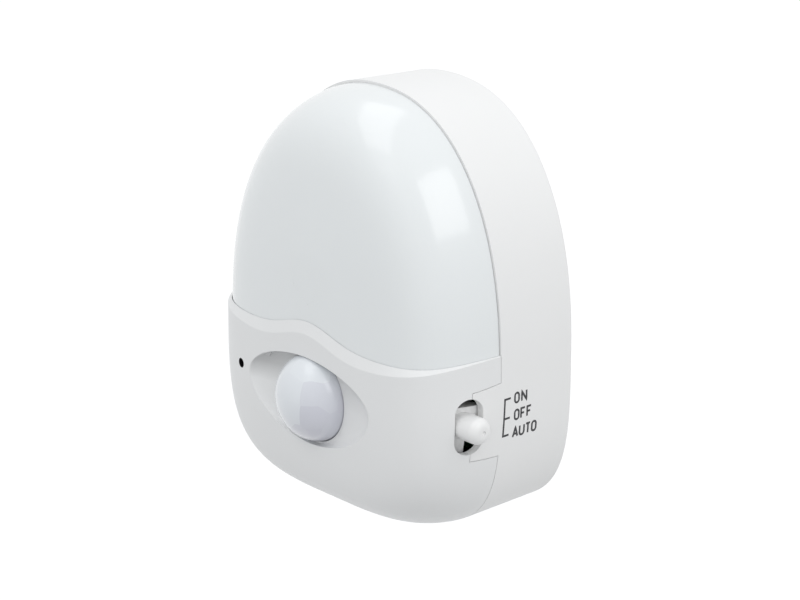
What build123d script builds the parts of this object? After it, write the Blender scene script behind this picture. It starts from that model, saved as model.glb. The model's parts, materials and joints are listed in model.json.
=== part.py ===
"""Plug-in night light: a wall-plug lamp with a diffuser, a motion sensor and a three-position slide switch.

Frame: the wall plane is Y = 0 and the origin lies on it midway between the two blades. +Z is up, +Y runs
into the wall, and +X is to the right of a person who faces the light.
"""

from build123d import *
import math
import os

os.makedirs("parts", exist_ok=True)

# ---- Egg-shaped outline of the lamp, two superellipse halves that meet at the widest points ----
half_width = 45.4
top_height = 64.3
bottom_height = 45.7
top_power = 2.26
bottom_power = 3.69
outline_steps = 14

# ---- Rear housing ----
housing_depth = 24.8
housing_wall = 2.2
housing_floor = 2.2
wall_face_scale = 0.983
back_edge_radius = 1.0
parting_gap = 0.15

# ---- Front shells: depth from the parting plane, how full the edge is, and the crown of the front ----
cover_depth = 25.0
cover_wall = 2.0
diffuser_inset = 0.65
diffuser_depth = 23.8
diffuser_wall = 1.8
front_fullness = 8.6
front_shoulder = 1.78
front_crown = 4.0
shell_steps = 14
cap_scale = 0.03
pole_height = 20.0
pole_scale = 0.65

# ---- Wavy boundary between diffuser and cover, and the sloped rim along it ----
wave_dip = 2.9
wave_peak = 4.5
wave_peak_spread = 0.29
wave_end_rise = 2.1
wave_end_power = 8
rim_drop_front = 3.7
rim_drop_side = 0.4
rim_drop_power = 2.3
rim_band = 4.8
rim_steps = 36
rim_past_inner = 0.6
rim_past_outer = 0.8
wave_steps = 24
cutter_margin = 12.0
lap = 3.8
lap_clearance = 0.12
lap_end_gap = 0.3

# ---- Lip of the front shells in the step of the housing's edge ----
lip_inset = 1.3
lip_thickness = 1.0
lip_reach = 1.6
lip_root = 1.4
lip_clearance = 0.15

# ---- Tongue of the housing that reaches into the cover's right side ----
tongue_inner_x = 31.8
tongue_front = 33.2
tongue_root_top = -2.2
tongue_root_bottom = -21.3
tongue_tip_top = -3.4
tongue_tip_bottom = -21.2
tongue_gap = 0.15

# ---- Motion sensor: lens dome, eye-shaped recess, retainer ----
lens_height = -13.1
lens_radius = 11.35
lens_bulge = 9.4
lens_base_depth = 21.5
lens_wall = 0.8
lens_flange = 1.0
lens_flange_width = 1.8
lens_play = 0.25
eye_half_width = 24.6
eye_rise = 10.25
eye_fall = 12.9
eye_lift = 0.9
eye_power = 1.85
eye_depth = 3.2
eye_wall = 1.6
eye_ledge = 0.4
eye_overrun = 0.3
eye_steps = 5
retainer_wall = 1.2
retainer_depth = 5.4

# ---- Sensor board, screwed to four bosses of the cover ----
board_thickness = 1.6
sensor_board_left = -31.0
sensor_board_right = 21.5
sensor_board_half_height = 13.5
sensor_boss_across = 17.5
sensor_boss_up = 9.3
sensor_boss_radius = 2.6
pir_can_radius = 4.6
pir_can_height = 4.2
pir_base_radius = 5.0
pir_base_height = 0.7
pir_window_width = 4.6
pir_window_height = 3.4
pir_window_thickness = 0.4
light_hole_radius = 1.25
light_hole_x = -27.9
light_hole_z = -11.2
photocell_radius = 2.55
photocell_thickness = 2.2
photocell_setback = 1.0
sleeve_wall = 0.8
sleeve_play = 0.1
sleeve_gap = 0.3

# ---- Main board and its posts ----
main_board_depth = 13.0
main_board_inset = 7.0
post_radius = 3.0
upper_post = (24.0, 30.0)
lower_post = (20.0, 17.7 - bottom_height)
notch_play = 0.4

# ---- Screws that join the housing to the two front shells ----
upper_screw = (28.0, 42.0)
lower_screw = (33.0, -28.0)
boss_radius = 3.5
boss_meeting_gap = 0.1
screw_head_radius = 2.7
screw_head_height = 1.9
screw_shank_radius = 1.3
screw_sink = 9.0
screw_bite = 8.0
screw_play = 0.1
small_screw_head_radius = 2.1
small_screw_head_height = 1.3
small_screw_shank_radius = 0.95
small_screw_bite = 5.0
cross_length_share = 1.3
cross_width = 0.6
cross_depth = 0.7

# ---- Plug blades and their holder ----
blade_spacing = 12.7
blade_thickness = 1.5
blade_height = 6.35
blade_length = 17.0
blade_tip = 2.0
blade_hole_radius = 1.6
blade_hole_from_wall = 11.9
blade_collar_height = 9.0
blade_collar_length = 1.5
blade_tail_height = 3.0
blade_play = 0.15
holder_width = 40.0
holder_height = 13.0
holder_depth = 6.0
holder_screw_across = 16.0
holder_screw_bite = 1.6
holder_stand = 1.0

# ---- Slide switch on its board, and the knob in its opening ----
switch_y = -33.9
switch_z = -12.0
switch_travel = 3.6
knob_radius = 3.4
knob_clearance = 0.3
knob_tip_x = 49.3
knob_nose_radius = 2.3
knob_dimple_radius = 0.6
knob_plate_x = 37.4
knob_plate_half_width = 4.8
knob_plate_rise = 4.5
knob_plate_shoulder = 4.2
knob_plate_fall = 9.2
knob_tail_back = 1.0
knob_plate_gap = 0.4
knob_collar_radius = 2.9
knob_collar_length = 1.6
switch_board_x = 29.8
switch_board_half_height = 12.4
switch_board_front = 41.0
switch_base_thickness = 1.6
switch_width = 8.4
switch_length = 19.0
switch_can_height = 4.0
switch_can_wall = 0.5
slider_length = 9.0
slider_play = 0.3
stem_width = 2.6
stem_length = 4.0
stem_into_knob = 2.0
wiper_thickness = 0.3
terminal_length = 2.0
terminal_width = 1.0
terminal_thickness = 0.4

# ---- Parts on the main board: sizes as (width, height, depth) ----
led_size = (5.0, 5.0, 1.6)
led_well_radius = 1.8
led_well_depth = 0.4
led_columns = (-14.0, 0.0, 14.0)
led_rows = (20.0, 38.0)
film_capacitor_size = (18.0, 9.0, 12.0)
film_capacitor_place = (-15.0, 6.0)
film_capacitor_edge = 0.8
electrolytic_radius = 4.0
electrolytic_height = 12.0
electrolytic_places = ((6.0, 6.0), (16.0, 6.0))
groove_from_foot = 1.6
groove_width = 0.8
groove_depth = 0.35
bridge_size = (8.5, 6.4, 3.0)
bridge_place = (-17.0, -6.0)
chip_size = (9.9, 3.9, 1.5)
chip_place = (-12.0, 15.7 - bottom_height)
chip_mark_inset = 1.0
chip_mark_radius = 0.4
chip_mark_depth = 0.2
resistor_radius = 1.2
resistor_length = 6.5
resistor_pitch = 4.0
resistor_count = 4
resistor_place = (-4.0, -16.0)
varistor_radius = 4.5
varistor_thickness = 3.0
varistor_place = (16.0, -6.0)
header_pins = 4
header_pitch = 2.54
header_block = 2.5
header_pin = 0.64
sensor_header_place = (0.0, -23.0)

front_normal = (0, -1, 0)
parting_y = -housing_depth
main_board_front = -(main_board_depth + board_thickness)
lens_base_y = parting_y - lens_base_depth
eye_floor_y = parting_y - cover_depth + eye_depth
flange_front_y = eye_floor_y + eye_wall
flange_back_y = flange_front_y + lens_flange
sensor_board_y = flange_back_y + retainer_depth
can_base_x = switch_board_x + switch_base_thickness
can_top_x = can_base_x + switch_can_height


# ---- Shared forms ----

def half_oval(width, height, power, y, side):
    """Edge of half a superellipse at depth y, above (side 1) or below (side -1) its widest line."""
    points = []
    for step in range(outline_steps + 1):
        turn = math.pi * step / outline_steps
        across = math.copysign(abs(math.cos(turn)) ** (2 / power), math.cos(turn))
        rise = abs(math.sin(turn)) ** (2 / power) if 0 < step < outline_steps else 0
        points.append((width * across, y, side * height * rise))
    return Spline(*points, tangents=[(0, 0, side), (0, 0, -side)], tangent_scalars=(1, 1))


def oval_face(width, top, bottom, power_top, power_bottom, y):
    """Flat face inside two superellipse halves that share their widest line."""
    over = half_oval(width, top, power_top, y, 1)
    under = half_oval(width, bottom, power_bottom, y, -1)
    return Face(Wire([over, under]))


def lamp_face(inset, scale, y):
    """The lamp's egg outline, drawn in by inset and then scaled about its widest line's middle."""
    return oval_face(
        (half_width - inset) * scale,
        (top_height - inset) * scale,
        (bottom_height - inset) * scale,
        top_power,
        bottom_power,
        y,
    )


def bulge(scale, depth):
    """Depth of a front shell where its outline is scaled down to scale."""
    edge = (1 - scale**front_fullness) ** (1 / front_shoulder)
    return (depth - front_crown) * edge + front_crown * (1 - scale**2)


def front_form(inset, depth):
    """Solid front bulge that starts as the lamp's outline at the parting plane and rolls over to its crown.

    The inner outlines drift up, so that the crown's flat tip lies on the plain diffuser.
    """
    faces = []
    for step in range(shell_steps + 1):
        scale = 1 - (1 - cap_scale) * (step / shell_steps) ** 2
        y = parting_y - bulge(scale, depth)
        rise = pole_height * max(0, 1 - scale / pole_scale) ** 1.5
        faces.append(lamp_face(inset, scale, y).moved(Location((0, 0, rise))))
    return loft(faces)


def cover_form(inset):
    """Front bulge of the cover, or the same form drawn in by inset."""
    return front_form(inset, cover_depth - inset)


def diffuser_form(inset):
    """Front bulge of the diffuser, or the same form drawn in by inset."""
    return front_form(diffuser_inset + inset, diffuser_depth - inset)


def wave(x):
    """Height of the diffuser's lower boundary: a peak at the middle, two dips, and ends that turn up."""
    share = abs(x) / half_width
    peak = wave_peak * math.exp(-((share / wave_peak_spread) ** 2))
    return wave_dip + peak + wave_end_rise * share**wave_end_power


def rim_drop(x):
    """How far below the wave the sloped rim meets the cover's front."""
    share = min(abs(x) / half_width, 1)
    return rim_drop_side + (rim_drop_front - rim_drop_side) * (1 - share**rim_drop_power)


def above_wave(lowered):
    """Block that fills everything above the wave, after lowering the wave."""
    reach = half_width + cutter_margin
    ceiling = top_height + cutter_margin
    front = parting_y - cover_depth - cutter_margin
    xs = [half_width * (2 * step / wave_steps - 1) for step in range(wave_steps + 1)]
    crest = Spline(*[(x, front, wave(x) - lowered) for x in xs])
    ends = wave(half_width) - lowered
    frame = Polyline(
        (half_width, front, ends),
        (reach, front, ends),
        (reach, front, ceiling),
        (-reach, front, ceiling),
        (-reach, front, ends),
        (-half_width, front, ends),
    )
    return extrude(Face(Wire([crest] + list(frame.edges()))), cutter_margin - front, dir=(0, 1, 0))


def tube_ring(inset, thickness, y_front, y_back):
    """Closed band that follows the lamp's outline between two insets and two depths."""
    outer = extrude(lamp_face(inset, 1, y_front), y_back - y_front, dir=(0, 1, 0))
    inner = extrude(lamp_face(inset + thickness, 1, y_front), y_back - y_front, dir=(0, 1, 0))
    return outer - inner


def rod(radius, place, y_from, y_to):
    """Cylinder along Y at place (x, z)."""
    centre = Location((place[0], (y_from + y_to) / 2, place[1]), (90, 0, 0))
    return centre * Cylinder(radius, abs(y_to - y_from))


def block(x_from, x_to, y_from, y_to, z_from, z_to):
    """Box between three pairs of coordinates, in any order."""
    centre = ((x_from + x_to) / 2, (y_from + y_to) / 2, (z_from + z_to) / 2)
    return Pos(*centre) * Box(abs(x_to - x_from), abs(y_to - y_from), abs(z_to - z_from))


def mirrored(place):
    """The two places that mirror each other across the middle of the lamp."""
    return [place, (-place[0], place[1])]


def write(shape, name):
    """Save one piece, or one group of like pieces, as its own file."""
    export_step(shape, f"parts/{name}.step")


# ---- Rim, tongue and switch opening ----

def surface_point(x, z, inset, depth):
    """Point of a front form above (x, z), found from how far out in the outline it lies."""
    wide = half_width - inset
    high = (top_height if z >= 0 else bottom_height) - inset
    power = top_power if z >= 0 else bottom_power
    scale = min(((abs(x) / wide) ** power + (abs(z) / high) ** power) ** (1 / power), 1)
    return Vector(x, parting_y - bulge(scale, depth), z)


def rim_slope_cutter():
    """Ribbon along the wave, from the diffuser's face down to the cover's face, drawn up into a solid."""
    inner = []
    outer = []
    for step in range(rim_steps + 1):
        share = math.sin(math.pi * (step / rim_steps - 0.5))
        x_in = share * (half_width - diffuser_inset)
        x_out = share * half_width
        low = surface_point(x_in, wave(x_in), diffuser_inset, diffuser_depth)
        high = surface_point(x_out, wave(x_out) - rim_drop(x_out), 0, cover_depth)
        inner.append(low + (low - high) * rim_past_inner)
        outer.append(high + (high - low) * rim_past_outer)
    ribbon = Face.make_surface_from_curves(Spline(*inner), Spline(*outer))
    return extrude(ribbon, cutter_margin, dir=(0, 0, 1))


def tongue_block(gap):
    """Prism along X with the tongue's outline seen from the side, grown by gap."""
    root = -parting_y - parting_gap
    outline = Polyline(
        (tongue_inner_x, -root, tongue_root_top + gap),
        (tongue_inner_x, -tongue_front - gap, tongue_tip_top + gap),
        (tongue_inner_x, -tongue_front - gap, tongue_tip_bottom - gap),
        (tongue_inner_x, -root, tongue_root_bottom - gap),
        close=True,
    )
    return extrude(Face(Wire(outline.edges())), half_width, dir=(1, 0, 0))


def tongue_root(gap):
    """Straight block under the tongue, over the depth of the lip and its step, grown by gap."""
    back = parting_y + lip_reach + lip_clearance
    return block(
        tongue_inner_x, 2 * half_width, parting_y, back, tongue_root_bottom - gap, tongue_root_top + gap
    )


def switch_opening():
    """Slot through the side wall, long enough for the knob's travel, cut along the knob's axis."""
    width = 2 * (knob_radius + knob_clearance)
    sketch = Plane(origin=(can_top_x, switch_y, switch_z), x_dir=(0, 0, 1), z_dir=(1, 0, 0)) * SlotOverall(
        width + 2 * switch_travel, width
    )
    return extrude(sketch, half_width, dir=(1, 0, 0))


# ---- Shells ----

def rear_housing():
    """Deep back shell with its wall face, screw bosses, board posts, blade slots and side tongue."""
    outer = loft([lamp_face(0, wall_face_scale, 0), lamp_face(0, 1, parting_y)], ruled=True)
    wall_edges = outer.faces().sort_by(Axis.Y)[-1].edges()
    outer = fillet(wall_edges, back_edge_radius)
    inner = loft(
        [lamp_face(housing_wall, wall_face_scale, -housing_floor), lamp_face(housing_wall, 1, parting_y)],
        ruled=True,
    )
    shell = outer - inner
    step_depth = lip_reach + lip_clearance
    step = tube_ring(
        lip_inset - lip_clearance,
        lip_thickness + 2 * lip_clearance,
        parting_y,
        parting_y + step_depth,
    )
    tongue = (cover_form(0) - cover_form(cover_wall)) & tongue_block(0)
    shell = shell - (step - tongue_root(0)) + tongue
    for place in mirrored(upper_screw) + mirrored(lower_screw):
        boss = rod(boss_radius, place, -housing_floor / 2, parting_y + boss_meeting_gap)
        shell = shell + boss
        shell = shell - rod(screw_shank_radius + screw_play, place, 0, parting_y)
        shell = shell - rod(screw_head_radius + screw_play, place, 0, -screw_sink)
    for place in mirrored(upper_post) + mirrored(lower_post):
        shell = shell + rod(post_radius, place, -housing_floor / 2, -main_board_depth)
        pilot_end = -main_board_depth + small_screw_bite + screw_play
        shell = shell - rod(small_screw_shank_radius + screw_play, place, -main_board_depth, pilot_end)
    for side in (-1, 1):
        middle = side * blade_spacing / 2
        half_slot = blade_thickness / 2 + blade_play
        half_tall = blade_height / 2 + blade_play
        shell = shell - block(
            middle - half_slot, middle + half_slot, 0, -housing_floor, -half_tall, half_tall
        )
        pilot = (side * holder_screw_across, 0)
        stand = rod(post_radius, pilot, -housing_floor / 2, -housing_floor - holder_stand)
        shell = shell + stand
        pilot_end = -housing_floor + holder_screw_bite + screw_play
        shell = shell - rod(small_screw_shank_radius + screw_play, pilot, -housing_floor - holder_stand, pilot_end)
    return shell - switch_opening()


def front_lip():
    """Lip that both front shells share: it drops into the step of the housing's edge."""
    return tube_ring(lip_inset, lip_thickness, parting_y - lip_root, parting_y + lip_reach)


def eye_section(share, grown, y):
    """Slice of the recess, from the rim of the lens's round hole (share 0) to the eye's edge (share 1)."""
    floor_radius = lens_radius + lens_play + eye_ledge
    return oval_face(
        floor_radius + (eye_half_width - floor_radius) * share + grown,
        floor_radius + (eye_rise - floor_radius) * share + grown,
        floor_radius + (eye_fall - floor_radius) * share + grown,
        2 + (eye_power - 2) * share,
        2 + (eye_power - 2) * share,
        y,
    ).moved(Location((0, 0, lens_height + eye_lift * share)))


def eye_bowl(grown, back):
    """Scooped form of the recess: steep under the eye's edge, level round the lens, like a quarter ellipse."""
    faces = []
    for step in range(eye_steps + 1):
        turn = math.pi / 2 * step / eye_steps
        y = eye_floor_y - (eye_depth + eye_overrun) * (1 - math.sin(turn)) + back
        faces.append(eye_section(math.cos(turn), grown, y))
    return loft(faces)


def front_cover():
    """Lower front shell with the sloped wavy rim, the eye recess, the sensor holes and its screw bosses."""
    rim_zone = above_wave(rim_band)
    outside = cover_form(0)
    middle = cover_form(cover_wall / 2)
    shell = outside - above_wave(0)
    shell = shell - (cover_form(cover_wall) - rim_zone)
    shell = shell - (diffuser_form(-lap_clearance) & rim_zone)
    shell = shell - rim_slope_cutter()
    shell = shell + (eye_bowl(eye_wall, eye_wall) & outside)
    shell = shell - eye_bowl(0, 0)
    shell = shell - rod(lens_radius + lens_play, (0, lens_height), eye_floor_y - eye_ledge / 2, parting_y)
    for place in mirrored(lower_screw):
        shell = shell + (rod(boss_radius, place, parting_y, parting_y - cover_depth) & middle)
        shell = shell - rod(screw_shank_radius + screw_play, place, parting_y, parting_y - screw_bite - 1)
    for x in (-sensor_boss_across, sensor_boss_across):
        for rise in (-sensor_boss_up, sensor_boss_up):
            place = (x, lens_height + rise)
            boss = rod(sensor_boss_radius, place, sensor_board_y, parting_y - cover_depth)
            shell = shell + (boss & middle)
            pilot_end = sensor_board_y - small_screw_bite - screw_play
            shell = shell - rod(small_screw_shank_radius + screw_play, place, sensor_board_y, pilot_end)
    shell = shell + (front_lip() - above_wave(lap + lap_end_gap))
    shell = shell - rod(light_hole_radius, (light_hole_x, light_hole_z), parting_y, parting_y - 2 * cover_depth)
    shell = shell - tongue_block(tongue_gap) - tongue_root(tongue_gap)
    edge_gap = tube_ring(-1, lip_inset + 1, parting_y - parting_gap, parting_y + 1)
    return shell - edge_gap - switch_opening()


def diffuser():
    """Translucent upper shell that laps behind the cover's rim and has two screw bosses at the back."""
    shell = (diffuser_form(0) - diffuser_form(diffuser_wall)) & above_wave(lap)
    middle = diffuser_form(diffuser_wall / 2)
    shell = shell + (front_lip() & above_wave(lap))
    for place in mirrored(upper_screw):
        boss = rod(boss_radius, place, parting_y, parting_y - cover_depth)
        shell = shell + (boss & middle)
        shell = shell - rod(screw_shank_radius + screw_play, place, parting_y, parting_y - screw_bite - 1)
    edge_gap = tube_ring(-1, lip_inset + 1, parting_y - parting_gap, parting_y + 1)
    return shell - edge_gap


# ---- Motion sensor ----

def quarter_arch(reach, height):
    """Quarter of an ellipse from (reach, 0) to (0, height), drawn as a smooth curve."""
    count = 7
    points = [(reach, 0)]
    for step in range(1, count):
        turn = math.pi * step / (2 * count)
        points.append((reach * math.cos(turn), height * math.sin(turn)))
    points.append((0, height))
    return Spline(*points, tangents=[(0, 1), (-1, 0)], tangent_scalars=(1, 1))


def fresnel_lens():
    """Thin dome whose section is a quarter ellipse, with a short neck and a flange that seats behind the hole."""
    rim = lens_radius + lens_flange_width
    inner = lens_radius - lens_wall
    neck = lens_base_y - flange_front_y
    back = lens_base_y - flange_back_y
    edges = [
        quarter_arch(lens_radius, lens_bulge),
        Line((0, lens_bulge), (0, lens_bulge - lens_wall)),
        quarter_arch(inner, lens_bulge - lens_wall),
        Line((inner, 0), (inner, back)),
        Line((inner, back), (rim, back)),
        Line((rim, back), (rim, neck)),
        Line((rim, neck), (lens_radius, neck)),
        Line((lens_radius, neck), (lens_radius, 0)),
    ]
    dome = revolve(Face(Wire(edges)), Axis.Y)
    place = Location((0, lens_base_y, lens_height))
    return place * Rot(180, 0, 0) * dome


def lens_retainer():
    """Ring that holds the lens's flange against the cover, standing on the sensor board."""
    outer = lens_radius + lens_flange_width
    ring = rod(outer, (0, lens_height), flange_back_y, sensor_board_y)
    ring = ring - rod(outer - retainer_wall, (0, lens_height), flange_back_y, sensor_board_y)
    seat = rod(outer, (0, lens_height), flange_back_y, flange_back_y + retainer_wall)
    seat = seat - rod(lens_radius - lens_wall, (0, lens_height), flange_back_y, sensor_board_y)
    return ring + seat


def sensor_board():
    """Small board behind the lens that carries the motion sensor and the photocell."""
    board = block(
        sensor_board_left,
        sensor_board_right,
        sensor_board_y,
        sensor_board_y + board_thickness,
        lens_height - sensor_board_half_height,
        lens_height + sensor_board_half_height,
    )
    for place in sensor_screw_places():
        board = board - rod(small_screw_shank_radius + screw_play, place, sensor_board_y, parting_y)
    for place in mirrored(lower_screw):
        board = board - rod(boss_radius + notch_play, place, sensor_board_y, parting_y)
    return board


def sensor_screw_places():
    """Where the sensor board's screws sit, as (x, z)."""
    places = []
    for x in (-sensor_boss_across, sensor_boss_across):
        for rise in (-sensor_boss_up, sensor_boss_up):
            places.append((x, lens_height + rise))
    return places


def pir_sensor():
    """Round metal can with a flat flange at its base and a square opening for its window."""
    place = (0, lens_height)
    can = rod(pir_base_radius, place, sensor_board_y, sensor_board_y - pir_base_height)
    can = can + rod(pir_can_radius, place, sensor_board_y, sensor_board_y - pir_can_height)
    return can - pir_window()


def pir_window():
    """Dark filter glass let into the can's face."""
    face = sensor_board_y - pir_can_height
    return block(
        -pir_window_width / 2,
        pir_window_width / 2,
        face,
        face + pir_window_thickness,
        lens_height - pir_window_height / 2,
        lens_height + pir_window_height / 2,
    )


def photocell_front_y():
    """Depth of the photocell's face, set back from the cover's wall."""
    wall = surface_point(light_hole_x, light_hole_z, cover_wall, cover_depth - cover_wall)
    return wall.Y + photocell_setback


def photocell():
    """Round light cell with its two legs standing on the sensor board."""
    face = photocell_front_y()
    place = (light_hole_x, light_hole_z)
    cell = rod(photocell_radius, place, face, face + photocell_thickness)
    for side in (-1, 1):
        leg = (light_hole_x, light_hole_z + side * header_pitch / 2)
        cell = cell + rod(header_pin / 2, leg, face + photocell_thickness / 2, sensor_board_y)
    return cell


def photocell_sleeve():
    """Dark tube that keeps the lamp's own light off the photocell."""
    place = (light_hole_x, light_hole_z)
    radius = photocell_radius + sleeve_play + sleeve_wall
    wall = surface_point(light_hole_x - radius, light_hole_z - radius, cover_wall, cover_depth - cover_wall)
    front = wall.Y + sleeve_gap
    outer = rod(radius, place, front, sensor_board_y)
    return outer - rod(radius - sleeve_wall, place, front, sensor_board_y)


# ---- Main board and what stands on it ----

def main_board():
    """Board that follows the outline inside the housing, notched around the screw bosses."""
    board = extrude(
        lamp_face(main_board_inset, 1, -main_board_depth - board_thickness), board_thickness, dir=(0, 1, 0)
    )
    for place in mirrored(upper_screw) + mirrored(lower_screw):
        board = board - rod(boss_radius + notch_play, place, -main_board_depth, main_board_front)
    for place in mirrored(upper_post) + mirrored(lower_post):
        board = board - rod(small_screw_shank_radius + screw_play, place, -main_board_depth, main_board_front)
    return board


def on_board(place, size):
    """Box of size (width, height, depth) that stands on the main board's front at place (x, z)."""
    width, height, depth = size
    return block(
        place[0] - width / 2,
        place[0] + width / 2,
        main_board_front,
        main_board_front - depth,
        place[1] - height / 2,
        place[1] + height / 2,
    )


def leds():
    """Six square light-emitting packages behind the diffuser, each with a round well in its face."""
    group = []
    for z in led_rows:
        for x in led_columns:
            package = on_board((x, z), led_size)
            face = main_board_front - led_size[2]
            well = rod(led_well_radius, (x, z), face, face + led_well_depth)
            group.append(package - well)
    return Compound(group)


def film_capacitor():
    """Box-shaped dropper capacitor with softened edges."""
    box = on_board(film_capacitor_place, film_capacitor_size)
    return fillet(box.edges().filter_by(Axis.Y), film_capacitor_edge)


def electrolytic_capacitors():
    """Two round smoothing capacitors, each with the rolled groove near its foot."""
    group = []
    groove_back = main_board_front - groove_from_foot
    groove_front = groove_back - groove_width
    for place in electrolytic_places:
        can = rod(electrolytic_radius, place, main_board_front, main_board_front - electrolytic_height)
        groove = rod(electrolytic_radius, place, groove_back, groove_front)
        core = rod(electrolytic_radius - groove_depth, place, groove_back, groove_front)
        group.append(can - (groove - core))
    return Compound(group)


def bridge_rectifier():
    """Low block of the rectifier."""
    return on_board(bridge_place, bridge_size)


def controller_chip():
    """Flat controller package with a mark at pin one."""
    body = on_board(chip_place, chip_size)
    face = main_board_front - chip_size[2]
    corner_x = chip_place[0] - chip_size[0] / 2
    corner_z = chip_place[1] - chip_size[1] / 2
    mark = (corner_x + chip_mark_inset, corner_z + chip_mark_inset)
    return body - rod(chip_mark_radius, mark, face, face + chip_mark_depth)


def resistors():
    """Row of round-bodied resistors that lie on the main board."""
    group = []
    for index in range(resistor_count):
        x = resistor_place[0] + index * resistor_pitch
        centre = (x, main_board_front - resistor_radius, resistor_place[1])
        group.append(Pos(*centre) * Cylinder(resistor_radius, resistor_length))
    return Compound(group)


def varistor():
    """Round disc that stands on edge on the main board."""
    centre = (varistor_place[0], main_board_front - varistor_radius, varistor_place[1])
    return Pos(*centre) * Rot(0, 90, 0) * Cylinder(varistor_radius, varistor_thickness)


def sensor_header():
    """Pin strip that carries the sensor board's wiring from the main board."""
    length = header_pins * header_pitch
    strip = on_board(sensor_header_place, (length, header_block, header_block))
    for index in range(header_pins):
        x = sensor_header_place[0] + (index - (header_pins - 1) / 2) * header_pitch
        strip = strip + block(
            x - header_pin / 2,
            x + header_pin / 2,
            main_board_front - header_block / 2,
            sensor_board_y + board_thickness,
            sensor_header_place[1] - header_pin / 2,
            sensor_header_place[1] + header_pin / 2,
        )
    return strip


# ---- Plug ----

def blade(side):
    """Flat plug blade with a tapered tip and a hole, a collar inside its holder and a tail to the board."""
    x = side * blade_spacing / 2
    half_height = blade_height / 2
    profile = Polyline(
        (x, 0, half_height),
        (x, blade_length - blade_tip, half_height),
        (x, blade_length, half_height / 2),
        (x, blade_length, -half_height / 2),
        (x, blade_length - blade_tip, -half_height),
        (x, 0, -half_height),
        close=True,
    )
    flat = extrude(Face(Wire(profile.edges())), blade_thickness / 2, dir=(1, 0, 0), both=True)
    half_thick = blade_thickness / 2
    collar_y = -housing_floor - holder_depth / 2
    inside = block(x - half_thick, x + half_thick, 0, collar_y, -half_height, half_height)
    collar = block(
        x - half_thick,
        x + half_thick,
        collar_y,
        collar_y - blade_collar_length,
        -blade_collar_height / 2,
        blade_collar_height / 2,
    )
    tail = block(
        x - half_thick,
        x + half_thick,
        collar_y,
        -main_board_depth,
        -blade_tail_height / 2,
        blade_tail_height / 2,
    )
    hole = Pos(x, blade_hole_from_wall, 0) * Rot(0, 90, 0) * Cylinder(blade_hole_radius, 4 * blade_thickness)
    return flat + inside + collar + tail - hole


def blade_holder():
    """Moulded block on the housing's floor with a stepped slot that locks each blade by its collar."""
    front = -housing_floor - holder_depth
    collar_y = -housing_floor - holder_depth / 2
    holder = block(
        -holder_width / 2, holder_width / 2, -housing_floor, front, -holder_height / 2, holder_height / 2
    )
    for side in (-1, 1):
        x = side * blade_spacing / 2
        half_thick = blade_thickness / 2 + blade_play
        half_tall = blade_height / 2 + blade_play
        half_collar = blade_collar_height / 2 + blade_play
        holder = holder - block(
            x - half_thick, x + half_thick, -housing_floor, collar_y, -half_tall, half_tall
        )
        holder = holder - block(x - half_thick, x + half_thick, collar_y, front, -half_collar, half_collar)
        place = (side * holder_screw_across, 0)
        holder = holder - rod(small_screw_shank_radius + screw_play, place, -housing_floor, front)
        holder = holder - rod(post_radius + screw_play, place, -housing_floor, -housing_floor - holder_stand)
    return holder


# ---- Screws ----

def screw(place, seat_y, toward_front, head_radius, head_height, shank_radius, shank_length):
    """Pan-head screw with a cross recess; its head lies on seat_y and its shank points to the front or back."""
    way = -1 if toward_front else 1
    head_end = seat_y - way * head_height
    piece = rod(head_radius, place, seat_y, head_end)
    piece = piece + rod(shank_radius, place, seat_y, seat_y + way * shank_length)
    arm = shank_radius * cross_length_share
    x, z = place
    for half_x, half_z in ((arm, cross_width / 2), (cross_width / 2, arm)):
        piece = piece - block(
            x - half_x, x + half_x, head_end, head_end + way * cross_depth, z - half_z, z + half_z
        )
    return piece


def housing_screws():
    """Four long screws driven from the back into the bosses of the cover and of the diffuser."""
    length = screw_sink_floor() - parting_y + screw_bite
    return Compound(
        [
            screw(
                place,
                screw_sink_floor(),
                True,
                screw_head_radius,
                screw_head_height,
                screw_shank_radius,
                length,
            )
            for place in mirrored(upper_screw) + mirrored(lower_screw)
        ]
    )


def screw_sink_floor():
    """Depth of the seat at the bottom of each screw well in the wall face."""
    return -screw_sink


def small_screws(places, seat_y, toward_front, grip):
    """Group of the small board screws, each through a layer as thick as grip and into its pilot hole."""
    return Compound(
        [
            screw(
                place,
                seat_y,
                toward_front,
                small_screw_head_radius,
                small_screw_head_height,
                small_screw_shank_radius,
                grip + small_screw_bite,
            )
            for place in places
        ]
    )


def board_screws():
    """Four screws that hold the main board on its posts."""
    places = mirrored(upper_post) + mirrored(lower_post)
    return small_screws(places, main_board_front, False, board_thickness)


def sensor_board_screws():
    """Four screws that hold the sensor board on the cover's bosses."""
    return small_screws(sensor_screw_places(), sensor_board_y + board_thickness, True, board_thickness)


def blade_holder_screws():
    """Two screws that hold the blade holder on the housing's floor."""
    places = mirrored((holder_screw_across, 0))
    return Compound(
        [
            screw(
                place,
                -housing_floor - holder_depth,
                False,
                small_screw_head_radius,
                small_screw_head_height,
                small_screw_shank_radius,
                holder_depth + holder_screw_bite,
            )
            for place in places
        ]
    )


# ---- Slide switch ----

def switch_block(x_from, x_to, width, length, shift=0.0):
    """Box of the switch between two planes across X, centred on the knob's axis or shifted along Z."""
    return block(
        x_from,
        x_to,
        switch_y - width / 2,
        switch_y + width / 2,
        switch_z + shift - length / 2,
        switch_z + shift + length / 2,
    )


def switch_board():
    """Upright board that stands on the main board and carries the slide switch."""
    return block(
        switch_board_x - board_thickness,
        switch_board_x,
        main_board_front,
        -switch_board_front,
        switch_z - switch_board_half_height,
        switch_z + switch_board_half_height,
    )


def switch_header():
    """Pin strip in the corner between the main board and the upright board."""
    face = switch_board_x - board_thickness
    return block(
        face - header_block,
        face,
        main_board_front,
        main_board_front - header_block,
        switch_z - 2 * header_pitch,
        switch_z + 2 * header_pitch,
    )


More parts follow.
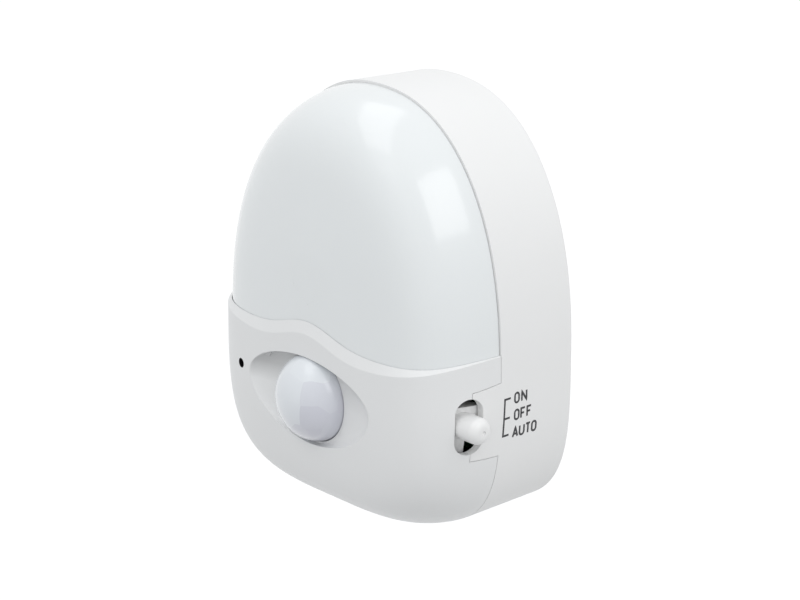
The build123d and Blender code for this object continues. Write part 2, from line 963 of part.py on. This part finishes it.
def switch_base():
    """Insulating base of the switch."""
    return switch_block(switch_board_x, can_base_x, switch_width, switch_length)


def switch_frame():
    """Folded metal can over the base, with the slot that the slider's stem runs in."""
    can = switch_block(can_base_x, can_top_x, switch_width, switch_length)
    hollow = switch_block(
        can_base_x,
        can_top_x - switch_can_wall,
        switch_width - 2 * switch_can_wall,
        switch_length - 2 * switch_can_wall,
    )
    slot = switch_block(
        can_base_x,
        can_top_x,
        stem_width + 2 * slider_play,
        stem_length + 2 * switch_travel + 2 * slider_play,
    )
    return can - hollow - slot


def switch_actuator():
    """Slider inside the can, with the stem that carries the knob."""
    width = switch_width - 2 * switch_can_wall - 2 * slider_play
    foot = can_base_x + wiper_thickness + slider_play / 2
    body = switch_block(foot, can_top_x - switch_can_wall - slider_play, width, slider_length)
    stem = switch_block(foot, knob_plate_x + stem_into_knob, stem_width, stem_length)
    return body + stem


def switch_wiper():
    """Sprung contact plate under the slider, bent down into two contact ridges."""
    foot = can_base_x + slider_play / 2
    return switch_block(foot, foot + wiper_thickness, stem_width * 1.4, slider_length * 0.7)


def switch_terminals():
    """Four solder tails on the back of the switch board."""
    face = switch_board_x - board_thickness
    group = []
    for index in range(4):
        shift = (index - 1.5) * (switch_length / 4)
        group.append(switch_block(face - terminal_length, face, terminal_thickness, terminal_width, shift))
    return Compound(group)


def knob_plate():
    """Plate behind the wall: square above the peg, and a tail below it that covers the slot's front side."""
    front = switch_y - knob_plate_half_width
    back = switch_y + knob_plate_half_width
    tail = switch_y + knob_tail_back
    top = switch_z + knob_plate_rise
    shoulder = switch_z - knob_plate_shoulder
    bottom = switch_z - knob_plate_fall
    plate = block(knob_plate_x, half_width, front, back, shoulder, top)
    plate = plate + block(knob_plate_x, half_width, front, tail, bottom, shoulder)
    behind_wall = cover_form(cover_wall + knob_plate_gap)
    for shift in (-switch_travel, switch_travel):
        plate = plate & behind_wall.moved(Location((0, 0, shift)))
    return plate


def switch_knob():
    """Blunt-nosed peg on a plate that follows the wall's curve, with a collar for the slider's stem."""
    axis_place = Plane(origin=(0, switch_y, switch_z), x_dir=(0, 1, 0), z_dir=(1, 0, 0)).location
    peg = axis_place * Pos(0, 0, (knob_plate_x + knob_tip_x) / 2) * Cylinder(
        knob_radius, knob_tip_x - knob_plate_x
    )
    peg = fillet(peg.edges().sort_by(Axis.X)[-1], knob_nose_radius)
    collar_from = knob_plate_x - knob_collar_length
    collar = axis_place * Pos(0, 0, (collar_from + knob_plate_x) / 2) * Cylinder(
        knob_collar_radius, knob_plate_x - collar_from
    )
    socket = switch_block(collar_from, knob_plate_x + stem_into_knob, stem_width, stem_length)
    dimple = Pos(knob_tip_x, switch_y, switch_z) * Sphere(knob_dimple_radius)
    return peg + knob_plate() + collar - socket - dimple


PIECES = [
    rear_housing,
    front_cover,
    diffuser,
    fresnel_lens,
    lens_retainer,
    sensor_board,
    pir_sensor,
    pir_window,
    photocell,
    photocell_sleeve,
    sensor_header,
    main_board,
    leds,
    film_capacitor,
    electrolytic_capacitors,
    bridge_rectifier,
    controller_chip,
    resistors,
    varistor,
    blade_holder,
    housing_screws,
    board_screws,
    sensor_board_screws,
    blade_holder_screws,
    switch_board,
    switch_header,
    switch_base,
    switch_frame,
    switch_actuator,
    switch_wiper,
    switch_terminals,
    switch_knob,
]

for piece in PIECES:
    write(piece(), piece.__name__)
write(blade(-1), "left_blade")
write(blade(1), "right_blade")
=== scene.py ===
"""Looks of the plug-in night light: materials, printed switch marks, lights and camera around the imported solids."""

import json
import math

import bpy
import numpy as np
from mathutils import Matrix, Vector


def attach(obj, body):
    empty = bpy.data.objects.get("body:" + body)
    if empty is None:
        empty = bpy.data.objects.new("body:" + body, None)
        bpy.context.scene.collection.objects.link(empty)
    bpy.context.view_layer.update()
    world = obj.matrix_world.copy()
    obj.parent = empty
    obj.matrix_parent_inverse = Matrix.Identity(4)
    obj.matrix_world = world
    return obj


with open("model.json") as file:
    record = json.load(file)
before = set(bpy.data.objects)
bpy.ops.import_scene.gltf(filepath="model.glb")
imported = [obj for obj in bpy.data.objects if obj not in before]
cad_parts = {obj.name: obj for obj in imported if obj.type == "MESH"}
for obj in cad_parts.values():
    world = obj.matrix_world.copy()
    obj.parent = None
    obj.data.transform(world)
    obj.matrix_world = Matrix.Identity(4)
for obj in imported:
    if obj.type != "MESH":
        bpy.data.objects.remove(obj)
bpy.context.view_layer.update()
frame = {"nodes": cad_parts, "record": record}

MM = 0.001

# ---- Sizes of the lamp, in millimetres, as in the part's source ----
HALF_WIDTH = 45.4
TOP_HEIGHT = 64.3
BOTTOM_HEIGHT = 45.7
TOP_POWER = 2.26
BOTTOM_POWER = 3.69
HOUSING_DEPTH = 24.8
WALL_FACE_SCALE = 0.983
LIGHT_HOLE_X = -27.9
LIGHT_HOLE_Z = -11.2
EYE_MIDDLE_Z = -12.2
EYE_HALF_WIDTH = 24.6
EYE_RISE = 10.25
EYE_POWER = 1.85

# ---- Plain moulded plastic: sizes in metres, the rest as shares ----
CLOUD_SIZE = 0.018
CLOUD_GLOSS = 0.06
CLOUD_SHADE = 0.012
GRAIN_SIZE = 0.00045
GRAIN_DEPTH = 0.000006
GRAIN_GLOSS = 0.05

# ---- Painted shade in the cover: near black in the light sensor's bore (mm), and a darkening in the eye-shaped recess ----
PAINTED_BORE_SHADE_RADIUS = 1.28
PAINTED_BORE_SHADE = (0.012, 0.012, 0.014)
COVER_SHADES = (0.80, 0.805, 0.805), (0.82, 0.825, 0.825)
COVER_ROUGHNESS = 0.375
# Painted shade in the eye-shaped recess: its dark colour and the shape of its mask.
RECESS_PAINTED_SHADE = (0.02, 0.02, 0.024)
RECESS_PAINTED_SHADE_EDGE = 0.97
RECESS_PAINTED_SHADE_EDGE_STEEPNESS = 40.0
RECESS_PAINTED_SHADE_RISE = 1.9
RECESS_PAINTED_SHADE_AT_MIDDLE_HEIGHT = 0.25
RECESS_PAINTED_SHADE_AT_MIDDLE_WIDTH = 0.62
RECESS_PAINTED_SHADE_LEAN = 0.5
RECESS_PAINTED_SHADE_STRENGTH = 0.36

# ---- Sensor lens: sizes in metres, slopes per metre ----
FACET_SIZE = 0.0056
FACET_EVENNESS = 0.35
FACET_DEPTH = 0.00022
FACET_STRENGTH = 0.6
FACET_SHARE = 0.7
FACET_NUMBER = (3000.0, 4700.0)
# Painted light and painted shade of the lens: pale where lit at the upper left, darker towards the lower right,
# shifted facet by facet.
FACET_PAINTED_SHADE = 0.12
LENS_PAINTED_LIT = (0.765, 0.796, 0.825)
LENS_PAINTED_SHADE = (0.62, 0.625, 0.69)
LENS_PAINTED_SHADE_TO_THE_RIGHT = 102.0
LENS_PAINTED_SHADE_DOWNWARDS = 71.0
LENS_PAINTED_SHADE_START = 0.81

# ---- Printed marks, in millimetres ----
CAP = 2.5
LETTER_WIDTHS = {"O": 1.4, "N": 1.6, "F": 1.3, "A": 1.6, "U": 1.5, "T": 1.35}
ARC_POINTS = 9
PEN_WIDTH = 0.54
PEN_STEP = 0.5
MITRE_LIMIT = 0.55
MARK_PROUD = 0.05
MARK_THICKNESS = 0.09
TICK = 1.95
BRACKET = (-23.45, -6.9), (-23.62, -11.95), (-23.8, -16.45)
WORDS = ("ON", -20.05, -8.5, 1.0), ("OFF", -20.0, -12.95, 0.8), ("AUTO", -20.35, -17.5, 0.7)

# ---- Skin over the diffuser's tip, in millimetres ----
SKIN_RADIUS = 6.0
SKIN_LEVEL_RADIUS = 4.6
SKIN_PROUD = 0.014
SKIN_THICKNESS = 0.08
SKIN_STEPS = 40
FITTED_RING = 2.3, 8.5
FITTED_DEPTH = 0.9
TIP_DEPTH = 0.002

# ---- Camera, lights and floor: places and sizes in millimetres, angles in degrees ----
CAMERA_AZIMUTH = 49.548
CAMERA_ELEVATION = 18.100
CAMERA_DISTANCE = 792.17
CAMERA_TARGET = (0.0, -25.0, 9.276)
LIGHTS_TARGET = (0.0, -25.0, 10.0)
FLOOR_HALF = 6000.0
FLOOR_HEIGHT = -420.0
FLOOR_SHADE = (0.55, 0.55, 0.55, 1.0)
FLOOR_ROUGHNESS = 0.9
FLOOR_GLOW = 0.55
ROOM_COLOUR = (0.97, 0.985, 1.0, 1.0)
ROOM_STRENGTH = 0.86
WHITE = (1.0, 1.0, 1.0, 1.0)

# Places of a colour Mix node's own sockets among all that the node has.
MIX_LOW, MIX_HIGH, MIX_RESULT = 6, 7, 2


# ---- Shader sums ----

class Nodes:
    """A shader's node tree, which is filled by one method."""

    def __init__(self, tree):
        self.tree = tree

    def feed(self, socket, value):
        """Plug a term or a plain value into an input socket."""
        if isinstance(value, Term):
            self.tree.links.new(value.socket, socket)
        else:
            socket.default_value = value

    def add(self, kind, settings, sockets):
        """New node of a kind: its settings are made first, then its input sockets are fed."""
        node = self.tree.nodes.new(kind)
        for setting, value in settings.items():
            setattr(node, setting, value)
        for place, value in sockets.items():
            self.feed(node.inputs[place], value)
        return node


class Term:
    """An output socket that takes part in Python sums, so that shader maths reads as it would on paper."""

    def __init__(self, nodes, socket):
        self.nodes = nodes
        self.socket = socket

    def made(self, operation, *others, clamp=False):
        """A Math node with this term and the others plugged in."""
        settings = {"operation": operation, "use_clamp": clamp}
        node = self.nodes.add("ShaderNodeMath", settings, dict(enumerate((self, *others))))
        return Term(self.nodes, node.outputs[0])

    def __add__(self, other):
        return self.made("ADD", other)

    def __sub__(self, other):
        return self.made("SUBTRACT", other)

    def __mul__(self, other):
        return self.made("MULTIPLY", other)

    def __pow__(self, other):
        return self.made("POWER", other)

    __radd__ = __add__
    __rmul__ = __mul__

    def __rsub__(self, other):
        return (self * -1.0) + other

    def clipped(self):
        return self.made("ADD", 0.0, clamp=True)

    def sine(self):
        return self.made("SINE")

    def size(self):
        return self.made("ABSOLUTE")

    def above(self, edge):
        return self.made("GREATER_THAN", edge)


class Paint(Nodes):
    """One Principled material that is built from procedural terms in the object's own coordinates."""

    def __init__(self, name, **constants):
        self.material = bpy.data.materials.new(name)
        self.material.use_nodes = True
        super().__init__(self.material.node_tree)
        self.shader = self.tree.nodes["Principled BSDF"]
        for socket, value in constants.items():
            self.feed(self.shader.inputs[socket.replace("_", " ")], value)
        self.place = Term(self, self.add("ShaderNodeTexCoord", {}, {}).outputs["Object"])

    def split(self, vector):
        """The x, y and z of a vector term, in metres."""
        return [Term(self, output) for output in self.add("ShaderNodeSeparateXYZ", {}, {0: vector}).outputs]

    def noise(self, size, detail=2.0):
        """Cloudy noise from 0 to 1 whose blobs are about size metres across."""
        sockets = {"Vector": self.place, "Scale": 1.0 / size, "Detail": detail}
        return Term(self, self.add("ShaderNodeTexNoise", {}, sockets).outputs["Fac"])

    def cells(self, size, evenness):
        """Cells about size metres across: how far the point is from its cell's middle, and where that middle is."""
        sockets = {"Vector": self.place, "Scale": 1.0 / size, "Randomness": 1.0 - evenness}
        node = self.add("ShaderNodeTexVoronoi", {}, sockets)
        return Term(self, node.outputs["Distance"]), self.split(Term(self, node.outputs["Position"]))

    def blend(self, factor, low, high):
        """Colour that goes from low to high as the factor goes from 0 to 1."""
        low, high = (colour if isinstance(colour, Term) else (*colour, 1.0) for colour in (low, high))
        settings = {"data_type": "RGBA", "clamp_factor": True}
        node = self.add("ShaderNodeMix", settings, {"Factor": factor, MIX_LOW: low, MIX_HIGH: high})
        return Term(self, node.outputs[MIX_RESULT])

    def colour(self, value):
        self.feed(self.shader.inputs["Base Color"], value)

    def rough(self, value):
        self.feed(self.shader.inputs["Roughness"], value)

    def bump(self, height, depth, strength=1.0):
        """Tilt the normal by a height term, where 1 stands for depth metres."""
        node = self.add("ShaderNodeBump", {}, {"Strength": strength, "Distance": depth, "Height": height})
        self.feed(self.shader.inputs["Normal"], Term(self, node.outputs["Normal"]))

    def satin(self, clouds, roughness, grain=GRAIN_SIZE, depth=GRAIN_DEPTH):
        """Gloss that drifts with the clouds around a middle roughness, and a fine grain in gloss and normal."""
        fine = self.noise(grain)
        base = roughness - (CLOUD_GLOSS + GRAIN_GLOSS) / 2
        self.rough(clouds * CLOUD_GLOSS + fine * GRAIN_GLOSS + base)
        self.bump(fine, depth)


# ---- Materials ----

def moulded(name, shade, roughness, grain=GRAIN_SIZE, depth=GRAIN_DEPTH, **constants):
    """Moulded plastic: a fine satin grain, and faint flow clouds in its shade and gloss."""
    paint = Paint(name, **constants)
    clouds = paint.noise(CLOUD_SIZE, detail=3.0)
    low, high = (tuple(c * share for c in shade) for share in (1.0 - CLOUD_SHADE, 1.0 + CLOUD_SHADE))
    paint.colour(paint.blend(clouds, low, high))
    paint.satin(clouds, roughness, grain, depth)
    return paint.material


def cover_moulding(name):
    """The cover's plastic, with painted shade: near black in the light sensor's bore, and a darkening in the
    eye-shaped recess.

    The painted shade darkens the recess's upper wall, most to the left. It is fixed to the part and stands for the
    deep shade of this hollow, which the lights here leave too pale. It fills a superellipse that is a little smaller
    than the recess, grows with height, and fades to the right.
    """
    paint = Paint(name)
    x, _, z = paint.split(paint.place)
    clouds = paint.noise(CLOUD_SIZE, detail=3.0)
    across = x - LIGHT_HOLE_X * MM
    along = z - LIGHT_HOLE_Z * MM
    # Painted shade: the bore's wall, inside this radius, is painted near black.
    outside_bore = ((across * across + along * along) ** 0.5).above(PAINTED_BORE_SHADE_RADIUS * MM)
    aside = x * (1.0 / (EYE_HALF_WIDTH * MM))
    above = (z - EYE_MIDDLE_Z * MM) * (1.0 / (EYE_RISE * MM))
    reach = aside.size() ** EYE_POWER + above.size() ** EYE_POWER
    inside_eye = ((RECESS_PAINTED_SHADE_EDGE - reach) * RECESS_PAINTED_SHADE_EDGE_STEEPNESS).clipped()
    higher = (above * RECESS_PAINTED_SHADE_RISE + RECESS_PAINTED_SHADE_AT_MIDDLE_HEIGHT).clipped()
    leftward = (RECESS_PAINTED_SHADE_AT_MIDDLE_WIDTH - aside * RECESS_PAINTED_SHADE_LEAN).clipped()
    # Painted shade: darkens the recess's upper wall, most to the left, fading to the right and downwards.
    recess_painted_shade_amount = inside_eye * higher * leftward * RECESS_PAINTED_SHADE_STRENGTH
    cover_with_painted_shade = paint.blend(recess_painted_shade_amount, paint.blend(clouds, *COVER_SHADES), RECESS_PAINTED_SHADE)
    # Near black painted shade inside the light sensor's bore; elsewhere the cover's colour.
    paint.colour(paint.blend(outside_bore, PAINTED_BORE_SHADE, cover_with_painted_shade))
    paint.satin(clouds, COVER_ROUGHNESS)
    return paint.material


def faceted_lens(name):
    """Milky sensor lens whose facets are painted shade and a bump only: the mesh under them is a smooth dome.

    The colour is painted light and painted shade: it goes from pale at the upper left to a violet grey at the lower
    right, mostly by the middle of each facet, so that it steps from one to the next, and each facet's painted shade
    is shifted by a sine of where its middle is.
    """
    paint = Paint(name, Coat_Weight=0.5, Coat_Roughness=0.09)
    x, _, z = paint.split(paint.place)
    distance, (middle_x, _, middle_z) = paint.cells(FACET_SIZE, FACET_EVENNESS)
    across = x * (1.0 - FACET_SHARE) + middle_x * FACET_SHARE
    along = z * (1.0 - FACET_SHARE) + middle_z * FACET_SHARE
    # Painted shade: darker towards the lower right, stepped facet by facet.
    lens_painted_shade_amount = (across * LENS_PAINTED_SHADE_TO_THE_RIGHT - along * LENS_PAINTED_SHADE_DOWNWARDS - LENS_PAINTED_SHADE_START).clipped()
    # Each facet's painted shade, shifted by a sine of where its middle is.
    own = (middle_x * FACET_NUMBER[0] + middle_z * FACET_NUMBER[1]).sine() * FACET_PAINTED_SHADE
    paint.colour(paint.blend(lens_painted_shade_amount + own, LENS_PAINTED_LIT, LENS_PAINTED_SHADE))
    paint.rough(paint.noise(0.003) * 0.06 + 0.17)
    paint.bump(distance * distance, FACET_DEPTH, FACET_STRENGTH)
    return paint.material


def metal(name, shade, roughness):
    """Plated or drawn metal: dull clouds, and a fine grain in gloss and normal."""
    paint = Paint(name, Metallic=1.0)
    clouds = paint.noise(0.004, detail=4.0)
    grain = paint.noise(0.0008, detail=1.0)
    paint.colour(paint.blend(clouds, tuple(c * 0.82 for c in shade), shade))
    paint.rough(clouds * 0.18 + grain * 0.1 + (roughness - 0.12))
    paint.bump(grain, 0.00001)
    return paint.material


def circuit_board(name):
    """Solder mask: green, with lighter copper runs that stand out a little."""
    paint = Paint(name, Coat_Weight=0.4)
    x, _, z = paint.split(paint.place)
    runs = (x * 1500.0 + paint.noise(0.006) * 9.0).sine().size().above(0.72)
    crossing = (z * 1350.0 + paint.noise(0.008) * 7.0).sine().size().above(0.78)
    tracks = (runs * crossing + paint.noise(0.01).above(0.62) * 0.6).clipped()
    paint.colour(paint.blend(tracks, (0.02, 0.12, 0.05), (0.06, 0.28, 0.12)))
    paint.rough(paint.noise(0.002) * 0.1 + 0.3)
    paint.bump(tracks, 0.00003)
    return paint.material


def ink(name):
    """Printed ink: near black, in patches a little paler and duller."""
    paint = Paint(name)
    patches = paint.noise(0.0005, detail=3.0)
    paint.colour(paint.blend(patches, (0.018, 0.018, 0.021), (0.045, 0.046, 0.05)))
    paint.rough(patches * 0.15 + 0.42)
    return paint.material


PLASTICS = {
    "white_housing": ((0.84, 0.84, 0.835), 0.42),
    "white_knob": ((0.84, 0.84, 0.835), 0.36),
    "black_plastic": ((0.035, 0.035, 0.04), 0.45),
    "holder_plastic": ((0.62, 0.62, 0.60), 0.5),
    "black_header": ((0.025, 0.025, 0.025), 0.5),
    "capacitor_box": ((0.55, 0.20, 0.05), 0.3),
    "capacitor_sleeve": ((0.05, 0.07, 0.14), 0.28),
    "resistor_body": ((0.55, 0.44, 0.28), 0.4),
    "led_yellow": ((0.85, 0.66, 0.16), 0.3),
    # photocell_face: its reddish face darkened near black, painted shade at the bottom of the light hole.
    "photocell_face": ((0.10, 0.06, 0.05), 0.25),
    "filter_glass": ((0.04, 0.03, 0.04), 0.12),
}

METALS = {
    "plated_screw": ((0.72, 0.72, 0.70), 0.34),
    "sensor_can": ((0.72, 0.68, 0.58), 0.25),
    "switch_can": ((0.68, 0.68, 0.66), 0.36),
    "tinned_leads": ((0.74, 0.74, 0.73), 0.3),
    "contact_bronze": ((0.66, 0.42, 0.22), 0.32),
    "plug_brass": ((0.80, 0.70, 0.44), 0.28),
}

MATERIALS = {
    "white_cover": cover_moulding("white_cover"),
    "opal_diffuser": moulded(
        "opal_diffuser", (0.79, 0.815, 0.82), 0.2, depth=0.000002, Coat_Weight=0.6, Coat_Roughness=0.1
    ),
    "opal_lens": faceted_lens("opal_lens"),
    "black_package": moulded("black_package", (0.03, 0.03, 0.033), 0.55, grain=0.0002, depth=0.00001),
    "varistor_blue": moulded("varistor_blue", (0.06, 0.18, 0.45), 0.35, grain=0.001),
    "green_board": circuit_board("green_board"),
}
MATERIALS |= {name: moulded(name, *look) for name, look in PLASTICS.items()}
MATERIALS |= {name: metal(name, *look) for name, look in METALS.items()}

for sub in frame["record"]["subparts"]:
    body = frame["nodes"][sub["node"]]
    body.data.materials.clear()
    body.data.materials.append(MATERIALS[sub["material_slot"]])


# ---- Mesh pieces ----

def placed(name, data):
    """Object around its data, in the scene."""
    piece = bpy.data.objects.new(name, data)
    bpy.context.scene.collection.objects.link(piece)
    return piece


def skin_piece(name, points, quads, thickness, material):
    """Thin closed skin on the housing: points in millimetres, four-cornered faces, and its thickness inwards."""
    mesh = bpy.data.meshes.new(name)
    mesh.from_pydata((points * MM).tolist(), [], quads.tolist())
    mesh.polygons.foreach_set("use_smooth", np.ones(len(mesh.polygons), bool))
    mesh.materials.append(material)
    mesh.update()
    piece = placed(name, mesh)
    wall = piece.modifiers.new("wall", "SOLIDIFY")
    wall.thickness = thickness * MM
    wall.offset = -1.0
    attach(piece, "housing")


def side_x(y, z):
    """Where the housing's right side lies: half the width, tapered to the wall, times the superellipse in z."""
    taper = 1.0 + (WALL_FACE_SCALE - 1.0) * (1.0 + y / HOUSING_DEPTH)
    power = np.where(z < 0, BOTTOM_POWER, TOP_POWER)
    reach = np.where(z < 0, BOTTOM_HEIGHT, TOP_HEIGHT) * taper
    return HALF_WIDTH * taper * (1.0 - np.abs(z / reach) ** power) ** (1.0 / power)


def finer(path, closed):
    """The same path with points added evenly in each straight, so that none is more than a step from the next."""
    start = path if closed else path[:-1]
    span = (np.roll(path, -1, 0) if closed else path[1:]) - start
    count = np.maximum(1, np.ceil(np.linalg.norm(span, axis=1) / PEN_STEP)).astype(int)
    place = np.arange(count.sum()) - np.repeat(np.cumsum(count) - count, count)
    added = np.repeat(span, count, 0) * place[:, None] / np.repeat(count, count)[:, None]
    points = np.repeat(start, count, 0) + added
    return points if closed else np.vstack([points, path[-1:]])


def stroke(path, closed):
    """Left and right edges of a pen line along a path, mitred at its corners."""
    if closed:
        before, after = np.roll(path, 1, 0), np.roll(path, -1, 0)
    else:
        before = np.vstack([2 * path[0] - path[1], path[:-1]])
        after = np.vstack([path[1:], 2 * path[-1] - path[-2]])
    one = (path - before) / np.linalg.norm(path - before, axis=1, keepdims=True)
    two = (after - path) / np.linalg.norm(after - path, axis=1, keepdims=True)
    middle = one + two
    middle /= np.linalg.norm(middle, axis=1, keepdims=True)
    normal = np.stack([-middle[:, 1], middle[:, 0]], 1)
    spread = np.clip(np.sum(middle * one, 1, keepdims=True), MITRE_LIMIT, 1.0)
    edge = normal * (PEN_WIDTH / 2) / spread
    return path + edge, path - edge


def arc(cx, cy, radius, start, end):
    """Points of a circular arc between two angles, in half turns."""
    turn = math.pi * np.linspace(start, end, ARC_POINTS)
    return np.stack([cx + radius * np.cos(turn), cy + radius * np.sin(turn)], 1)


def letter_paths(sign):
    """Pen paths of one capital from its lower left corner, as (points, closed)."""
    wide = LETTER_WIDTHS[sign]
    half = wide / 2
    return {
        "O": [(np.vstack([arc(half, CAP - half, half, 0, 1), arc(half, half, half, 1, 2)]), True)],
        "N": [([(0, 0), (0, CAP), (wide, 0), (wide, CAP)], False)],
        "F": [
            ([(0, 0), (0, CAP), (wide, CAP)], False),
            ([(0, CAP * 0.5), (wide * 0.8, CAP * 0.5)], False),
        ],
        "A": [
            ([(0, 0), (half, CAP), (wide, 0)], False),
            ([(wide * 0.17, CAP * 0.3), (wide * 0.83, CAP * 0.3)], False),
        ],
        "U": [(np.vstack([[(0, CAP)], arc(half, half, half, 1, 2), [(wide, CAP)]]), False)],
        "T": [([(half, 0), (half, CAP)], False), ([(0, CAP), (wide, CAP)], False)],
    }[sign]


def mark_lines():
    """Pen paths of the bracket and of the three words, in (y, z), as (points, closed)."""
    top, middle, bottom = BRACKET
    lines = [
        ([(top[0] + TICK, top[1]), top, bottom, (bottom[0] + TICK, bottom[1])], False),
        ([middle, (middle[0] + TICK, middle[1])], False),
    ]
    for word, pen_y, foot, gap in WORDS:
        for sign in word:
            lines += [(np.asarray(path) + (pen_y, foot), closed) for path, closed in letter_paths(sign)]
            pen_y += LETTER_WIDTHS[sign] + gap
    return lines


def switch_marks():
    """Bracket with three ticks and the words of the three switch places, printed on the housing's side.

    Each pen line is a flat strip in (y, z) that is laid on the side's curve, a hair proud of it.
    """
    points = []
    quads = []
    total = 0
    for path, closed in mark_lines():
        path = finer(np.asarray(path, float), closed)
        y, z = np.stack(stroke(path, closed), 1).reshape(-1, 2).T
        count = len(path)
        step = np.arange(count if closed else count - 1)
        after = (step + 1) % count
        quads.append(np.stack([2 * step, 2 * step + 1, 2 * after + 1, 2 * after], 1) + total)
        points.append(np.column_stack([side_x(y, z) + MARK_PROUD, y, z]))
        total += 2 * count
    skin_piece(
        "switch_marks", np.vstack(points), np.vstack(quads), MARK_THICKNESS, ink("print_ink")
    )


def tip_skin():
    """Smooth skin over the diffuser's tip, which hides the faint creases that the meshed cap shows there.

    A square grid is drawn out to a disc in x and z. Its depth is a quartic, fitted to the diffuser's own points
    around the tip, less a shallow bowl: the skin stands a hair proud at the tip and sinks below the diffuser
    towards its rim. The real lamp has no such part.
    """
    mesh = frame["nodes"]["diffuser"].data
    found = np.empty(3 * len(mesh.vertices))
    mesh.vertices.foreach_get("co", found)
    x, y, z = found.reshape(-1, 3).T / MM
    tip_z = z[y < y.min() + TIP_DEPTH].mean()

    def terms(x, up):
        """The quartic's terms at a place x across the tip and up from it, even in x."""
        return np.stack([np.ones_like(x), up, x * x, up * up, x * x * up, up**3, x**4, x * x * up * up, up**4], -1)

    away = np.hypot(x, z - tip_z)
    near = (y < y.min() + FITTED_DEPTH) & (away > FITTED_RING[0]) & (away < FITTED_RING[1])
    weights = np.linalg.lstsq(terms(x[near], z[near] - tip_z), y[near], rcond=None)[0]

    across, along = np.meshgrid(*[np.linspace(-1.0, 1.0, SKIN_STEPS + 1)] * 2, indexing="ij")
    px = SKIN_RADIUS * across * np.sqrt(1.0 - along**2 / 2)
    up = SKIN_RADIUS * along * np.sqrt(1.0 - across**2 / 2)
    bowl = SKIN_PROUD * (1.0 - (px**2 + up**2) / SKIN_LEVEL_RADIUS**2)
    points = np.stack([px, terms(px, up) @ weights - bowl, tip_z + up], -1).reshape(-1, 3)
    row, column = np.meshgrid(np.arange(SKIN_STEPS), np.arange(SKIN_STEPS), indexing="ij")
    corner = row * (SKIN_STEPS + 1) + column
    next_corner = corner + SKIN_STEPS + 1
    quads = np.stack([corner, next_corner, next_corner + 1, corner + 1], -1).reshape(-1, 4)
    skin_piece("tip_skin", points, quads, SKIN_THICKNESS, MATERIALS["opal_diffuser"])


switch_marks()
tip_skin()


# ---- Floor, lights and camera ----

def lit_only(nodes, seen, lit):
    """Shader that shows seen to the camera and in reflections, and lit to everything else."""
    path = nodes.add("ShaderNodeLightPath", {}, {})
    camera_ray, glossy_ray, transmission_ray = (
        Term(nodes, path.outputs[ray]) for ray in ("Is Camera Ray", "Is Glossy Ray", "Is Transmission Ray")
    )
    shown = (camera_ray + glossy_ray + transmission_ray).clipped()
    mix = nodes.add("ShaderNodeMixShader", {}, {0: shown, 1: lit, 2: seen})
    return Term(nodes, mix.outputs[0])


def backdrop():
    """White world: plain white where it is seen, a softer white where it lights the lamp."""
    world = bpy.data.worlds.new("white_room")
    bpy.context.scene.world = world
    world.use_nodes = True
    nodes = Nodes(world.node_tree)
    seen = nodes.tree.nodes["Background"]
    nodes.feed(seen.inputs["Color"], WHITE)
    nodes.feed(seen.inputs["Strength"], 1.0)
    lit = nodes.add("ShaderNodeBackground", {}, {"Color": ROOM_COLOUR, "Strength": ROOM_STRENGTH})
    out = lit_only(nodes, Term(nodes, seen.outputs[0]), Term(nodes, lit.outputs[0]))
    nodes.feed(nodes.tree.nodes["World Output"].inputs["Surface"], out)


def floor():
    """Wide pale floor, well below the lamp, that the camera sees as white outside the lamp's soft shadow."""
    material = bpy.data.materials.new("pale_floor")
    material.use_nodes = True
    nodes = Nodes(material.node_tree)
    shader = nodes.tree.nodes["Principled BSDF"]
    nodes.feed(shader.inputs["Base Color"], FLOOR_SHADE)
    nodes.feed(shader.inputs["Roughness"], FLOOR_ROUGHNESS)
    lit = Term(nodes, shader.outputs[0])
    glow = nodes.add("ShaderNodeEmission", {}, {"Strength": FLOOR_GLOW})
    both = nodes.add("ShaderNodeAddShader", {}, {0: lit, 1: Term(nodes, glow.outputs[0])})
    out = lit_only(nodes, Term(nodes, both.outputs[0]), lit)
    nodes.feed(nodes.tree.nodes["Material Output"].inputs["Surface"], out)
    corners = np.array([(-1, -1), (1, -1), (1, 1), (-1, 1)]) * FLOOR_HALF
    mesh = bpy.data.meshes.new("floor")
    mesh.from_pydata((np.insert(corners, 2, FLOOR_HEIGHT, 1) * MM).tolist(), [], [(0, 1, 2, 3)])
    mesh.materials.append(material)
    placed("floor", mesh)


def softbox(name, place, width, height, watts):
    """Rectangular lamp at a place in millimetres, turned to face the night light."""
    data = bpy.data.lights.new(name, "AREA")
    data.shape = "RECTANGLE"
    data.size = width * MM
    data.size_y = height * MM
    data.energy = watts
    lamp = placed(name, data)
    lamp.location = Vector(place) * MM
    aim = Vector(LIGHTS_TARGET) * MM - lamp.location
    lamp.rotation_euler = aim.to_track_quat("-Z", "Y").to_euler()
    return lamp


def camera():
    """Long lens that looks down on the lamp's right front, from where the fit to the photograph puts it."""
    azimuth, elevation = math.radians(CAMERA_AZIMUTH), math.radians(CAMERA_ELEVATION)
    level = math.cos(elevation)
    direction = Vector((math.sin(azimuth) * level, -math.cos(azimuth) * level, math.sin(elevation)))
    data = bpy.data.cameras.new("camera")
    data.sensor_width = 36.0
    data.lens = 140.78
    data.shift_x = 0.02507
    data.shift_y = -0.00679
    data.clip_start = 0.05
    data.clip_end = 30.0
    view = placed("camera", data)
    view.location = Vector(CAMERA_TARGET) * MM + direction * (CAMERA_DISTANCE * MM)
    view.rotation_euler = (-direction).to_track_quat("-Z", "Y").to_euler()
    bpy.context.scene.camera = view


backdrop()
floor()

# The front lamp doesn't show in reflections, and the overhead one shows only in them.
softbox("front_top", (0.0, -720.0, 800.0), 500.0, 400.0, 1.3).visible_glossy = False
softbox("side", (720.0, -20.0, 620.0), 700.0, 560.0, 2.0)
softbox("overhead", (-320.0, -150.0, 900.0), 1000.0, 460.0, 1.4).visible_diffuse = False
camera()

bpy.context.scene.view_settings.view_transform = "Standard"
